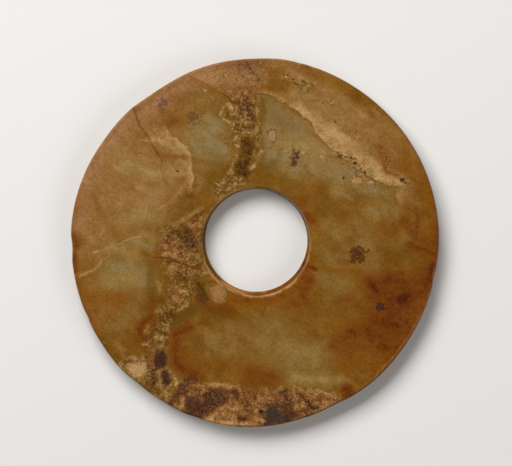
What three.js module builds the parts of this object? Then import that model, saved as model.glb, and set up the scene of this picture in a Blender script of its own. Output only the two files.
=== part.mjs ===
// A plain bi disc: a flat ring ground from one slab of nephrite, its hole drilled from both faces.
// Millimetres, +Z up. It lies on its back face, and +Y points to the top of the face as shown.
// The origin is under the middle of the outline, on the plane that the back face rests on.
import * as THREE from "three";

// The slab
const discRadius = 100; // the rim's mean radius
const thickness = 12; // between the two ground faces

// The rim: a soft edge at both faces, and a side that swells a little between them
const frontArrisWidth = 1.5;
const frontArrisDrop = 1.3;
const backArrisWidth = 1.2;
const backArrisDrop = 1.0;
const rimSwell = 0.5;

// The hole: a tubular drill sunk from each face, narrowing as it wore. The two drillings missed
// each other a little, which left a ledge where they meet, widest at the bottom of the face.
const boreRadius = 27.9; // the back drilling at its narrow end, the tightest place
const boreOffsetX = 0.6; // the hole was set a little off the rim's middle
const boreOffsetY = 0.3;
const drillTaper = 1.0; // radius that a drilling loses from the face to the ledge
const ledgeWidth = 0.75; // the front drilling is wider than the back one by this
const ledgeHeight = 5.2; // the ledge above the back face
const drillMissX = 0.1; // the back drilling's middle beside the front one's
const drillMissY = 0.7;
const lipRadius = 0.7; // worn edge of each mouth

// Where the outline wanders from a true circle: [degrees from +X, radius as a share of discRadius].
// The upper left, near 124 degrees, was left flat where the slab ran short.
const rimShares = [
  [0, 1.003], [14, 1.0065], [32, 1.009], [48, 1.0065], [68, 1.007], [81, 1.0085],
  [90, 1.001], [102, 0.998], [110, 0.9945], [118, 0.9865], [124, 0.984], [128, 0.986],
  [133, 0.993], [146, 0.9945], [158, 1.0015], [173, 1.005], [188, 1.001], [212, 1.002],
  [223, 1.005], [236, 1.001], [247, 1.0065], [258, 1.0105], [268, 1.0075], [276, 1.0025],
  [285, 0.9945], [296, 0.99], [310, 0.9955], [326, 0.9925], [344, 0.996], [354, 0.9985],
];

// Old losses along the rim: [degrees from +X, half width in degrees, depth as a share of
// discRadius, share of that depth at the front edge, share of it at the back edge].
const nickShares = [
  [71.5, 1.6, 0.003, 1.0, 0.0],
  [76.5, 2.2, 0.004, 1.0, 0.0],
  [181.5, 4.5, 0.009, 1.0, 0.6],
  [204, 2.8, 0.006, 1.0, 0.3],
  [229.5, 5.0, 0.007, 0.6, 1.0],
  [252, 3.6, 0.007, 0.4, 1.0],
  [296, 8.0, 0.005, 0.5, 1.0],
  [349, 3.0, 0.005, 1.0, 0.5],
];

// How finely the curves are cut
const segments = 180;
const arrisSteps = 4;
const lipSteps = 3;
const sideSteps = 3;
const fullTurn = 360;

const nephrite = new THREE.MeshStandardMaterial({
  name: "nephrite",
  color: 0x8f6a36,
  roughness: 0.38,
  metalness: 0,
});

// The outline's radius share at an angle: a cubic through rimShares, closed on itself.
function rimShare(degrees) {
  const count = rimShares.length;
  let k = rimShares.findLastIndex(([at]) => at <= degrees);
  if (k < 0) k = count - 1;
  const row = (i) => {
    const turns = Math.floor(i / count);
    const [at, share] = rimShares[i - turns * count];
    return [at + turns * fullTurn, share];
  };
  const [before, here, next, after] = [row(k - 1), row(k), row(k + 1), row(k + 2)];
  const span = next[0] - here[0];
  const slopeHere = ((next[1] - before[1]) / (next[0] - before[0])) * span;
  const slopeNext = ((after[1] - here[1]) / (after[0] - here[0])) * span;
  const t = (degrees - here[0]) / span;
  return (
    here[1] * (2 * t ** 3 - 3 * t ** 2 + 1) +
    slopeHere * (t ** 3 - 2 * t ** 2 + t) +
    next[1] * (3 * t ** 2 - 2 * t ** 3) +
    slopeNext * (t ** 3 - t ** 2)
  );
}

// How far the nicks cut into the rim at an angle, from 0 at the back edge to 1 at the front.
function nickDepth(degrees, towardsFront) {
  let depth = 0;
  for (const [at, halfWidth, depthShare, frontShare, backShare] of nickShares) {
    const away = Math.abs(((degrees - at + fullTurn * 1.5) % fullTurn) - fullTurn / 2) / halfWidth;
    if (away >= 1) continue;
    const reach = backShare + (frontShare - backShare) * towardsFront;
    depth += discRadius * depthShare * reach * (1 - away ** 2) ** 2;
  }
  return depth;
}

// The section through one side of the ring, as rings of vertices: each has a radius, a height and
// the surface that it belongs to. It runs up the rim, in over the front, down the bore and out
// under the back.
function section() {
  const rings = [];
  const add = (radius, z, surface) => rings.push({ radius, z, surface });
  const quarter = Math.PI / 2;

  for (let i = 0; i <= arrisSteps; i++) {
    const turn = (quarter * i) / arrisSteps;
    const inset = rimSwell + backArrisWidth * (1 - Math.sin(turn));
    add(discRadius - inset, backArrisDrop * (1 - Math.cos(turn)), "rim");
  }
  const sideTop = thickness - frontArrisDrop;
  for (let i = 1; i < sideSteps; i++) {
    const along = i / sideSteps;
    const inset = rimSwell * (2 * along - 1) ** 2;
    add(discRadius - inset, backArrisDrop + (sideTop - backArrisDrop) * along, "rim");
  }
  for (let i = 0; i <= arrisSteps; i++) {
    const turn = (quarter * i) / arrisSteps;
    const inset = rimSwell + frontArrisWidth * (1 - Math.cos(turn));
    add(discRadius - inset, thickness - frontArrisDrop * (1 - Math.sin(turn)), "rim");
  }

  const frontBottom = boreRadius + ledgeWidth;
  const frontMouth = frontBottom + drillTaper;
  const backMouth = boreRadius + drillTaper;
  for (let i = 0; i <= lipSteps; i++) {
    const turn = (quarter * i) / lipSteps;
    const radius = frontMouth + lipRadius * (1 - Math.sin(turn));
    add(radius, thickness - lipRadius * (1 - Math.cos(turn)), "frontDrilling");
  }
  add(frontBottom, ledgeHeight, "frontDrilling");
  add(boreRadius, ledgeHeight, "backDrilling");
  for (let i = 0; i <= lipSteps; i++) {
    const turn = (quarter * i) / lipSteps;
    const radius = backMouth + lipRadius * (1 - Math.cos(turn));
    add(radius, lipRadius * (1 - Math.sin(turn)), "backDrilling");
  }
  rings.push(rings[0]);
  return rings;
}

// The plain ring is turned on a lathe. Its rim is then moved to the real outline, and the back
// drilling to where it met the front one.
function discGeometry() {
  const rings = section();
  const points = rings.map((ring) => new THREE.Vector2(ring.radius, ring.z));
  const geometry = new THREE.LatheGeometry(points, segments);
  const position = geometry.getAttribute("position");
  for (let i = 0; i < position.count; i++) {
    const { radius, z, surface } = rings[i % rings.length];
    const turn = Math.floor(i / rings.length) % segments;
    const degrees = (turn * fullTurn) / segments;
    let reach = radius;
    let x = boreOffsetX;
    let y = boreOffsetY;
    if (surface === "rim") {
      reach = radius + discRadius * (rimShare(degrees) - 1) - nickDepth(degrees, z / thickness);
      x = 0;
      y = 0;
    }
    if (surface === "backDrilling") {
      x += drillMissX;
      y += drillMissY;
    }
    const angle = THREE.MathUtils.degToRad(degrees);
    position.setXYZ(i, x + reach * Math.cos(angle), y + reach * Math.sin(angle), z);
  }
  return geometry;
}

const geometry = discGeometry();
geometry.computeVertexNormals();
geometry.computeBoundingBox();
const middle = geometry.boundingBox.getCenter(new THREE.Vector3());

const jadeDisc = new THREE.Mesh(geometry, nephrite);
jadeDisc.name = "jade_disc";
jadeDisc.position.set(-middle.x, -middle.y, 0);

const bi = new THREE.Group();
bi.add(jadeDisc);

export default bi;
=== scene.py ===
import math

import bmesh
import bpy
import numpy as np
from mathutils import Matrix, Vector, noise


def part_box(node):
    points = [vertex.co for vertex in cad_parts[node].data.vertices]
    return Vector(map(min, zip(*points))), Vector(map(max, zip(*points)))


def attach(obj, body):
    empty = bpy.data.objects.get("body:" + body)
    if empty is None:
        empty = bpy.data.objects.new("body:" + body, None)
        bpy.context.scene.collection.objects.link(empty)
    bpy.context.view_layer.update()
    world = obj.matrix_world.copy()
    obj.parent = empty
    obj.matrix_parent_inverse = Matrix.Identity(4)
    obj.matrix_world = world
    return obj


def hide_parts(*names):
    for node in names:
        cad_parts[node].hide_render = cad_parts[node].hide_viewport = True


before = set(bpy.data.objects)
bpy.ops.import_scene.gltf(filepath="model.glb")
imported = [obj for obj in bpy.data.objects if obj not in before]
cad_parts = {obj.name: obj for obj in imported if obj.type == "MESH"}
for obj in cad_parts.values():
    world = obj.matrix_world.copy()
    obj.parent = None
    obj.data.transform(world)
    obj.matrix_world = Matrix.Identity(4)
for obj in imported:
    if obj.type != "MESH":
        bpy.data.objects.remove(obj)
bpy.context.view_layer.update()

# The ring: one slab of nephrite, sawn and ground flat, its rim rounded and its hole sunk with a
# tubular drill from both faces. Its section is drawn once and spun round the disc's axis.
mm = 0.001
low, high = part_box("jade_disc")
thickness = high.z - low.z
rim_radius = 99.5 * mm
bore_radius = 27.9 * mm
drill_taper = 1.0 * mm
ledge_width = 0.75 * mm
ledge_height = 5.2 * mm
ledge_slope = 0.2 * mm
lip_zone = 0.6 * mm  # the worn edge of each mouth lies within this of the face
touching = 0.01 * mm  # points nearer than this count as one
turn_steps = 640
sectors = 8  # of the turn, the first spun and the rest copied from it

bpy.ops.object.select_all(action="DESELECT")
bpy.ops.mesh.primitive_plane_add(size=1, rotation=(math.pi / 2, 0, 0))
disc = bpy.context.object
disc.name = disc.data.name = "nephrite_ring"
bpy.ops.object.transform_apply(location=True, rotation=True, scale=True)


def select(test):
    """Selects the section's vertices that pass the test, and the edges between them."""
    bpy.ops.mesh.select_all(action="DESELECT")
    shape = bmesh.from_edit_mesh(disc.data)
    for vertex in shape.verts:
        vertex.select_set(test(vertex.co))
    shape.select_flush_mode()
    bmesh.update_edit_mesh(disc.data)


bpy.ops.object.mode_set(mode="EDIT")
bpy.ops.mesh.select_mode(type="VERT")
bpy.ops.mesh.select_all(action="SELECT")
bpy.ops.transform.resize(value=(rim_radius - bore_radius, 1, thickness))
bpy.ops.transform.translate(value=((rim_radius + bore_radius) / 2, 0, low.z + thickness / 2))
middle = low.z + thickness / 2
inner = (rim_radius + bore_radius) / 2
select(lambda p: p.x < inner and p.z > middle)
bpy.ops.transform.translate(value=(ledge_width + drill_taper, 0, 0))
select(lambda p: p.x < inner and p.z < middle)
bpy.ops.transform.translate(value=(drill_taper, 0, 0))

# Each corner is worn round: the front edge of the rim most, the mouths of the hole least.
for corner_x, corner_z, wear, steps in (
    (rim_radius, high.z, 1.4 * mm, 6),
    (rim_radius, low.z, 1.1 * mm, 4),
    (bore_radius + ledge_width + drill_taper, high.z, 0.7 * mm, 4),
    (bore_radius + drill_taper, low.z, 0.7 * mm, 3),
):
    select(lambda p: abs(p.x - corner_x) + abs(p.z - corner_z) < touching)
    bpy.ops.mesh.bevel(offset=wear, segments=steps, affect="VERTICES")
bpy.ops.mesh.select_all(action="SELECT")
bpy.ops.mesh.delete(type="ONLY_FACE")

# The two drillings end at a ledge inside the hole.
ledge_top = ledge_height + ledge_slope
for cut in (ledge_height, ledge_top):
    select(lambda p: p.x < inner and abs(p.z - middle) < thickness / 2 - lip_zone)
    bpy.ops.mesh.bisect(plane_co=(0, 0, low.z + cut), plane_no=(0, 0, 1))
for cut, radius in ((ledge_height, bore_radius), (ledge_top, bore_radius + ledge_width)):
    select(lambda p: p.x < inner and abs(p.z - low.z - cut) < touching)
    here = [v.co.x for v in bmesh.from_edit_mesh(disc.data).verts if v.select][0]
    bpy.ops.transform.translate(value=(radius - here, 0, 0))

# The long edges of the section are cut finely, so that the faces can carry dents and pits.
for test, cuts in (
    (lambda p: p.z > high.z - touching, 88),
    (lambda p: p.z < low.z + touching, 30),
    (lambda p: p.x > rim_radius - touching, 7),
    (lambda p: p.x < inner and ledge_top - touching < p.z - low.z < thickness - lip_zone, 4),
    (lambda p: p.x < inner and lip_zone < p.z - low.z < ledge_height + touching, 3),
):
    select(test)
    bpy.ops.mesh.subdivide(number_cuts=cuts)
bpy.ops.mesh.select_all(action="SELECT")
sector = math.tau / sectors
bpy.ops.mesh.spin(steps=turn_steps // sectors, angle=sector, center=(0, 0, 0), axis=(0, 0, 1))
bpy.ops.mesh.select_all(action="SELECT")
bpy.ops.mesh.spin(steps=sectors - 1, angle=math.tau - sector, dupli=True, center=(0, 0, 0), axis=(0, 0, 1))
bpy.ops.mesh.select_all(action="SELECT")
bpy.ops.mesh.remove_doubles(threshold=touching)
bpy.ops.mesh.normals_make_consistent(inside=False)
bpy.ops.object.mode_set(mode="OBJECT")

# The spun ring is true. The stone isn't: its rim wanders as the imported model's does, and its hole
# stands off the middle, with the back drilling a little to one side of the front one.
cad = np.array([v.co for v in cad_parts["jade_disc"].data.vertices])
cad_reach = np.hypot(cad[:, 0], cad[:, 1])
cad_angle = np.arctan2(cad[:, 1], cad[:, 0])
count = len(disc.data.vertices)
place = np.empty(count * 3)
disc.data.vertices.foreach_get("co", place)
place = place.reshape(-1, 3)
angle = np.arctan2(place[:, 1], place[:, 0])
reach = np.hypot(place[:, 0], place[:, 1])
height = place[:, 2] - low.z

on_rim = cad_reach > inner
back_edge, front_edge = 0.9 * mm, thickness - 1.2 * mm  # of the rim's side, between its worn edges
levels = [z for z in np.unique(cad[on_rim, 2].round(6)) if back_edge < z - low.z < front_edge]
outlines = []
for level in levels:
    here = on_rim & (abs(cad[:, 2] - level) < touching)
    order = np.argsort(cad_angle[here])
    outlines.append(np.interp(angle, cad_angle[here][order], cad_reach[here][order], period=math.tau))
outlines = np.array(outlines)
rise = np.clip(np.interp(height + low.z, levels, range(len(levels))), 0, len(levels) - 1.001)
below = rise.astype(int)
rows = np.arange(count)
outline = outlines[below, rows] * (1 - rise + below) + outlines[below + 1, rows] * (rise - below)
outward = np.clip((reach - bore_radius) / (rim_radius - bore_radius), 0, 1)
reach = reach + outward * (outline - rim_radius)

centres = []
above_ledge = (cad[:, 2] - low.z - ledge_height) / mm
for wall in (~on_rim & (above_ledge > 1), ~on_rim & (above_ledge < -1)):
    centres.append((cad[wall, :2].min(0) + cad[wall, :2].max(0)) / 2)
front_drilling = height > ledge_height + ledge_slope / 2
centre = np.where(front_drilling[:, None], centres[0], centres[1]) * (1 - outward)[:, None]
place[:, 0] = centre[:, 0] + reach * np.cos(angle)
place[:, 1] = centre[:, 1] + reach * np.sin(angle)

# The stone's own markings are drawn in millimetres on the front face and carried down through the
# slab at a slant, so that a vein comes out again on the rim, in the hole and on the back. Three
# sizes of noise, seeded to be the same each run, make their edges wander.
depth = (thickness - height) / mm
across = place[:, 0] / mm + 0.5 * depth
along = place[:, 1] / mm - 0.35 * depth
noise.seed_set(7)
for size, drift in ((9.0, 0.8), (3.2, 0.6), (1.6, 0.35)):
    samples = zip(across / size, along / size, depth / size)
    wander = np.array([noise.noise_vector(sample) for sample in samples])
    across = across + drift * wander[:, 0]
    along = along + drift * wander[:, 1]


def trace(points):
    """How far each vertex lies from a drawn line, on which side of it, and whether within it."""
    nearest, side, inside = np.full(count, np.inf), np.ones(count), np.zeros(count, bool)
    for (ax, ay), (bx, by) in list(zip(points, points[1:])) or [points * 2]:
        dx, dy = bx - ax, by - ay
        share = np.clip(((across - ax) * dx + (along - ay) * dy) / max(dx * dx + dy * dy, 1e-9), 0, 1)
        gap = np.hypot(across - ax - share * dx, along - ay - share * dy)
        side = np.where(gap < nearest, np.where(dx * (along - ay) > dy * (across - ax), 1, -1), side)
        nearest = np.minimum(nearest, gap)
        if dy:
            inside ^= ((ay > along) != (by > along)) & (across < ax + dx * (along - ay) / dy)
    return nearest, side, inside & (len(points) > 2 and points[0] == points[-1])


def keep(name, values):
    disc.data.attributes.new(name, "FLOAT", "POINT").data.foreach_set("value", values)


def paint(name, strokes):
    """Keeps, as an attribute, how fully a marking covers each vertex. A stroke is its strength, half
    its width, the width over which it fades, and the lines or closed outlines that it follows. Where
    a width or a fade is a pair, the first is for a line's left side and the second for its right."""
    covered = np.zeros(count)
    for strength, half_width, fade, *lines in strokes:
        for points in lines:
            nearest, side, inside = trace(points)
            wide = np.where(side > 0, np.ravel(half_width)[0], np.ravel(half_width)[-1])
            soft = np.where(side > 0, np.ravel(fade)[0], np.ravel(fade)[-1])
            edge = np.clip(0.5 + (wide - np.where(inside, -nearest, nearest)) / soft, 0, 1)
            covered = np.maximum(covered, strength * edge * edge * (3 - 2 * edge))
    keep(name, covered)
    return covered


# Grey-green stone that no stain has reached
paint("unstained", [
    (0.78, 0, 11, [(-39, 54), (-38, 62), (-32, 70), (-24, 73), (-17, 68), (-12, 60), (-11, 48), (-16, 42),
        (-24, 40), (-34, 44), (-39, 54)]),
    (1.0, 5, 11, [(-34, 60), (-25, 57), (-17, 51)]),
    (0.7, 3, 9, [(-34, 50), (-30, 44)]),
    (0.4, 3, 10, [(-30, 82), (-20, 74)]),
    (0.85, 0, 10, [(3, 81), (9, 80), (14, 76), (20, 72), (27, 67), (31, 60), (36, 54), (45, 48), (54, 42),
        (60, 37), (70, 31), (75, 28), (72, 23), (60, 24), (48, 30), (36, 34), (26, 36), (14, 37), (6, 40),
        (3, 48), (2, 56), (3, 81)]),
    (0.95, 4, 10, [(22, 56), (30, 50), (38, 46)]),
    (0.5, 3, 10, [(30, 34), (31, 22)]),
    (0.85, 4, 12, [(62, 18), (72, 17)]),
    (0.55, 3, 10, [(72, 26), (76, 20)]),
    (0.45, 3, 10, [(84, 6), (80, 0)]),
    (0.6, 5, 14, [(56, 9), (62, 4), (58, -2), (48, -8)], [(38, -20), (46, -22), (44, -28)]),
    (0.6, 4, 12, [(64, -6), (66, -14)], [(38, -4), (42, -10)]),
    (0.55, 0, 18, [(-2, -38), (14, -38), (22, -48), (36, -50), (44, -60), (44, -72), (38, -79), (18, -79),
        (8, -70), (0, -62), (-2, -50), (-2, -38)]),
    (0.8, 2.5, 9, [(18, -74), (36, -75)]),
    (0.65, 3, 12, [(8, -42), (14, -46)]),
    (0.5, 5, 14, [(-4, -46), (-20, -50)]),
    (0.85, 7, 15, [(-78, -14), (-68, -12), (-62, -17), (-62, -22)]),
    (0.8, 5, 12, [(-76, -22), (-65, -27)]),
    (0.95, 3, 9, [(-56, -2), (-66, 1)]),
    (0.75, 5, 14, [(-68, 14), (-58, 16), (-52, 12)]),
    (0.6, 3, 10, [(-62, 24), (-50, 30)]),
    (0.6, 3, 9, [(-78, 49), (-68, 46)]),
    (0.6, 2, 8, [(-60, 6), (-54, 2)]),
    (0.55, 5, 14, [(-72, -22), (-64, -34), (-74, -46)]),
    (0.9, 2, 5, [(-53, -22), (-52, -26)]),
    (0.85, 4, 10, [(-46, 36), (-40, 42)]),
    (0.7, 5, 14, [(-68, 44), (-58, 38), (-46, 34)]),
    (0.65, 2.5, 8, [(-44, 54), (-38, 50), (-36, 44)]),
])

# Darker olive, where the stain is thin over green stone
paint("olive", [
    (0.5, 0, 8, [(-34, 43), (-24, 40), (-14, 43), (-14, 38), (-20, 30), (-27, 25), (-31, 28), (-33, 36),
        (-34, 43)]),
    (0.7, 0.8, 5, [(-35, 45.5), (-30, 44.5), (-22, 42.5), (-14, 43)]),
    (0.8, 1.2, 5, [(4, 87), (10, 88)]),
    (0.4, 3, 8, [(10, 91), (15, 87)]),
    (0.8, 2, 6, [(-18, 34), (-15, 42)]),
    (0.9, 3, 8, [(-30, -34), (-22, -39), (-14, -38)]),
    (0.6, 2, 6, [(-36, -30), (-33, -34)]),
    (0.7, 3, 8, [(5, 40), (10, 43)], [(-36, -20), (-34, -26)]),
    (0.45, 2, 8, [(52, 26), (60, 25)]),
    (0.4, 5, 12, [(5, 76), (11, 69), (18, 63)]),
    (0.4, 4, 12, [(-26, 33), (-20, 46)]),
    (0.5, 4, 14, [(-2, 34), (10, 34), (24, 32)]),
    (0.5, 5, 14, [(36, 24), (44, 14), (42, 0)]),
    (0.6, 3, 9, [(36, 29), (40, 25)]),
    (0.45, 2, 7, [(52, 22), (58, 25)]),
    (1.0, 2, 6, [(-41, 21), (-38, 25), (-34, 26)]),
    (0.7, 2, 6, [(-40, 20), (-35, 17)]),
    (1.1, 3.5, 8, [(-46, -44), (-40, -40), (-34, -36)]),
    (0.7, 2, 7, [(-45, -48), (-38, -44)]),
    (0.7, 3, 10, [(-40, 84), (-30, 80)]),
    (0.55, 4, 12, [(-42, 12), (-46, 16)]),
    (0.75, 2, 6, [(4, 77), (5, 70), (3.5, 66)]),
    (0.5, 2, 7, [(4, 56), (4, 46)]),
    (0.45, 5, 14, [(-36, -48), (-32, -62)]),
    (0.5, 6, 14, [(70, -6), (90, -8)]),
    (0.45, 4, 14, [(20, -42), (34, -36), (50, -38)]),
    (0.7, 2, 8, [(66, 54), (72, 51)]),
    (0.65, 2.5, 9, [(-56, -11), (-57, -20)]),
    (0.85, 3, 8, [(-57, -27), (-56, -32)]),
    (0.5, 3, 10, [(-52, 22), (-44, 20)]),
])

# Two edges that the weathered skin breaks off along: a long one at the upper right, and that of a
# tongue at the left
skin_edge = [(3, 81.2), (9.5, 80), (12, 78), (15, 76.2), (17.5, 75), (20, 72.5), (23, 70.5), (26, 67.8),
             (29, 66), (31, 64), (32, 61), (33.5, 58.5), (36, 55.5), (39, 53), (41.5, 50.4), (44.5, 49),
             (46, 47.5), (51.5, 46.5), (55, 42.5), (59.5, 38.5), (65, 35), (70, 31.5), (74, 31)]
tongue_edge = [(-47, 61), (-45.5, 57), (-43, 57), (-40, 54), (-37, 51.5), (-35.3, 49), (-34.6, 44),
               (-34.2, 38), (-32.8, 35), (-33.6, 32), (-34, 29)]

# Pale tan, where the surface has weathered
paint("weathered", [
    (0.55, 0, 24, [(-90, 48), (-72, 64), (-52, 74), (-42, 62), (-36, 51), (-34, 40), (-36, 30), (-42, 20),
        (-50, 10), (-66, 6), (-80, -4), (-96, -10), (-98, 14), (-94, 36), (-90, 48)]),
    (1.05, (0, 4), (1.2, 9), tongue_edge[:10]),
    (0.85, 4, 12, [(-56, 56), (-47, 54), (-41, 50)], [(-54, 39), (-40, 38)]),
    (0.8, 3, 10, [(-78, 42), (-68, 34), (-60, 28)], [(30, 76), (36, 68)]),
    (0.6, 2, 6, [(-94, 22), (-88, 14), (-82, 6)]),
    (0.95, 1.5, 4, [(-62, 56), (-57, 56)]),
    (0.7, 2, 10, [(-84, 24), (-74, 16), (-66, 12)]),
    (0.8, 2, 8, [(-54, 18), (-46, 22), (-40, 30)]),
    (0.55, -2, 8, [(2, 83), (14, 82), (19, 86), (18, 96), (30, 94), (48, 84), (64, 72), (78, 56), (84, 38),
        (82, 30), (74, 30), (59.5, 38.5), (46, 47.5), (36, 55.5), (29, 66), (17.5, 75), (2, 83)]),
    (1.0, (1, 0), (9, 1), [(2, 82)] + skin_edge[1:7]),
    (1.12, (7, 0), (18, 1), skin_edge[6:17]),
    (1.15, (7, 0.5), (15, 1.5), skin_edge[16:]),
    (0.85, 1.5, 6, [(6, 82.5), (13, 79.5), (20, 74.5)]),
    (1.05, 5, 13, [(35, 66), (42, 60), (50, 54), (58, 46), (66, 40)]),
    (0.6, 5, 18, [(28, 76), (42, 68), (52, 58)]),
    (0.7, 2, 8, [(60, 34), (68, 33)]),
    (0.95, 1.5, 5, [(23, 86), (27, 83), (29, 84)]),
    (0.9, 1, 4, [(15, 90), (18, 89)]),
    (1.1, 1.6, 5, [(35, 78), (40, 76.5)]),
    (0.9, 1.5, 5, [(54, 58), (57, 59)]),
    (0.75, 4, 12, [(79, 32), (80, 26)]),
    (0.6, 3, 10, [(66, 70), (76, 60), (84, 50), (90, 38)]),
    (0.9, 1.2, 4, [(64, 73), (68, 69.5)]),
    (1.1, 1.3, 3.5, [(16, 50), (18.5, 52)]),
    (0.5, 4, 12, [(34, 44), (46, 40)], [(-92, -8), (-80, -6)]),
    (0.75, 2, 6, [(77, 31), (78, 25), (80, 22)]),
    (0.5, 2.0, 7, [(-75, -56), (-72, -58)]),
    (0.85, 6, 14, [(-30, 90), (-16, 90), (0, 90)]),
    (0.35, 5, 14, [(-88, -22), (-80, -36)]),
    (0.35, 3, 12, [(60, 0), (64, -6)]),
    (0.9, 3, 8, [(-42, 47), (-38, 42)]),
    (0.8, 4, 12, [(-80, 53), (-66, 53)], [(32, 78), (38, 72)]),
    (0.75, 3, 10, [(19, 92), (32, 86)]),
    (1.05, 0.6, 2, [(-90, -6), (-84, -4.5), (-74, -1), (-66, 2.5), (-58, 4.5)]),
    (1.0, 0.9, 2.5, [(-95, -18.5), (-88, -15), (-83, -10)]),
    (0.7, 0.4, 1.6, [(-83, -12), (-77, -9.5)]),
])

# Green stone that shows faintly through the weathered skin
paint("thin_skin", [
    (0.75, 5, 12, [(-70, 13), (-58, 16)]),
    (0.6, 4, 10, [(-60, 22), (-50, 30)]),
    (0.6, 3, 9, [(-82, 49), (-74, 48), (-66, 44)], [(-62, 5), (-54, 2)]),
    (0.9, 3, 9, [(-70, 43), (-56, 38), (-50, 35)]),
    (0.9, 2, 5, [(-47, 54), (-43, 50), (-40.5, 44)]),
    (0.6, 3, 8, [(-46, 40), (-40, 40)]),
    (0.7, 1.5, 4, [(-47, 7.5), (-38, 13), (-29, 18.5)]),
    (0.7, 3, 10, [(29, 78), (36, 70), (40, 66)]),
    (0.5, 3, 9, [(58, 52), (64, 49)], [(-30, 30), (-29, 40)]),
    (0.55, 3, 9, [(68, 64), (80, 52)]),
    (0.5, 4, 12, [(52, 66), (42, 76)], [(-42, 70), (-32, 76), (-20, 80)], [(22, 36), (30, 33)],
        [(40, 10), (46, 4)]),
    (0.6, 2.5, 8, [(84, 30), (87, 20)]),
    (0.7, 3.5, 9, [(44, 28), (50, 26)]),
    (0.3, 3, 9, [(76, 6), (84, 2)]),
    (0.85, 3, 9, [(46, -74), (36, -74), (22, -73)]),
    (0.5, 5, 14, [(-26, -54), (-14, -58)]),
    (0.75, 4, 11, [(-80, -1), (-72, -3), (-66, -5)]),
    (0.75, 5, 14, [(-78, -20), (-66, -20)]),
    (0.55, 4, 12, [(-40, 62), (-35, 60)], [(66, 17), (74, 15)]),
    (0.9, 4, 12, [(17, 54), (28, 53), (37, 50)]),
    (1.1, 3, 9, [(23, 53), (28, 52)]),
    (0.6, 5, 14, [(18, -58), (32, -61)]),
    (0.4, 5, 14, [(-6, -57), (4, -54)]),
])

# Pinkish bloom along the upper left of the rim, partly the stone's own pink weathering and partly a painted
# sheen where the rim catches the light
paint("blush_and_sheen", [
    (0.7, 2.5, 6, [(-93, -35), (-87, -46)]),
    (0.85, 4, 16, [(-97, 10), (-93, 30), (-85, 45), (-75, 60), (-62, 70), (-48, 80), (-35, 88), (-20, 93),
        (-5, 96)]),
    (0.5, 2, 12, [(-80, 30), (-74, 56)]),
    (0.65, 3, 12, [(-16, 92), (-14, 84)]),
    (0.6, 2, 8, [(-20, 27), (-16, 23)]),
    (0.5, 3, 14, [(-72, 20), (-50, 26)]),
    (0.5, 2, 6, [(10, 97), (24, 96)]),
])

# Amber stain
paint("amber", [
    (0.35, 3, 12, [(50, 84), (62, 78), (76, 62)]),
    (0.8, 3, 10, [(88, 44), (93, 34), (97, 18)]),
    (0.5, 2, 8, [(90, 28), (92, 16)], [(66, 53), (72, 46), (77, 40)]),
    (0.55, 2, 7, [(80, 43), (84, 40)]),
    (1.0, 3.5, 10, [(99, 10), (98, -12), (91, -37), (81, -55), (66, -72)]),
    (0.9, 3, 8, [(-12, -31), (8, -31), (18, -28), (26, -20), (30, -8)]),
    (0.8, 0.8, 4, [(22, 24.5), (23.5, 24)]),
    (0.6, 2, 8, [(-98, 15), (-96, 30)]),
    (0.9, 1.8, 6, [(-100, 4), (-98.5, -15), (-94, -32), (-86, -48)]),
    (0.6, 4, 12, [(-94, -30), (-80, -30), (-66, -28)]),
    (0.4, 4, 14, [(-40, -62), (-20, -68), (0, -72), (10, -74)]),
    (0.7, 0.7, 4, [(36, -15), (54, -15.5)]),
    (1.1, 0.7, 2.6, [(9, -30), (6, -34), (4, -39)]),
    (0.45, 4, 14, [(66, 6), (80, 8)]),
    (0.9, 1.2, 6, [(64, 74), (70, 70)]),
    (0.8, 1, 4, [(30, 85), (32, 83)]),
    (0.6, 1.2, 4, [(-34, 88.5), (-27, 85), (-18, 79)], [(-71, 17.5), (-69, 17)]),
    (0.95, 1, 3, [(-13, 64), (-11.5, 62)]),
    (0.55, 3, 10, [(-40, 64), (-46, 68)]),
    (0.5, 1.2, 5, [(-86, 18), (-80, 11), (-76, 5), (-73, 3)]),
    (0.35, 2, 8, [(-78, 36), (-70, 34)]),
    (0.4, 2, 8, [(-50, 34), (-46, 28), (-40, 34)], [(51, 53), (57, 49)]),
    (0.75, 1.4, 5, [(-52, 48), (-46, 46.5), (-37, 46)]),
    (0.4, 3, 9, [(70, 60), (78, 54), (84, 46)]),
    (0.5, 4, 10, [(99, 6), (99, -8)]),
    (0.6, 3, 10, [(84, 46), (80, 54)]),
    (0.55, 4, 12, [(32, 30), (28, 20)]),
    (0.2, 3, 10, [(-72, -50), (-62, -40)]),
    (0.75, 1, 5, [(-72, -55.5), (-64, -56), (-60, -58)]),
    (0.6, 5, 16, [(46, -66), (60, -64)]),
    (0.5, 5, 14, [(66, -34), (62, -46), (48, -44)]),
    (0.7, 2, 8, [(18, -36), (30, -24)]),
    (0.75, 2, 6, [(4.5, 85.5), (9, 84)]),
    (0.7, 3.5, 10, [(68, 50), (72, 44), (82, 41)]),
    (0.95, 0.8, 2.5, [(65.5, 52.5), (69, 51.5), (71.5, 48)]),
    (0.8, 1, 3, [(70, 43), (72, 38.5), (77, 36.5)]),
    (0.6, 1, 4, [(80, 52), (84, 45), (86, 36)]),
    (0.5, 2.5, 8, [(68, 57), (72, 54)]),
    (0.5, 3, 10, [(86, 30), (82, 20)]),
    (0.45, 3, 10, [(96, 8), (90, -8)]),
])

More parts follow.
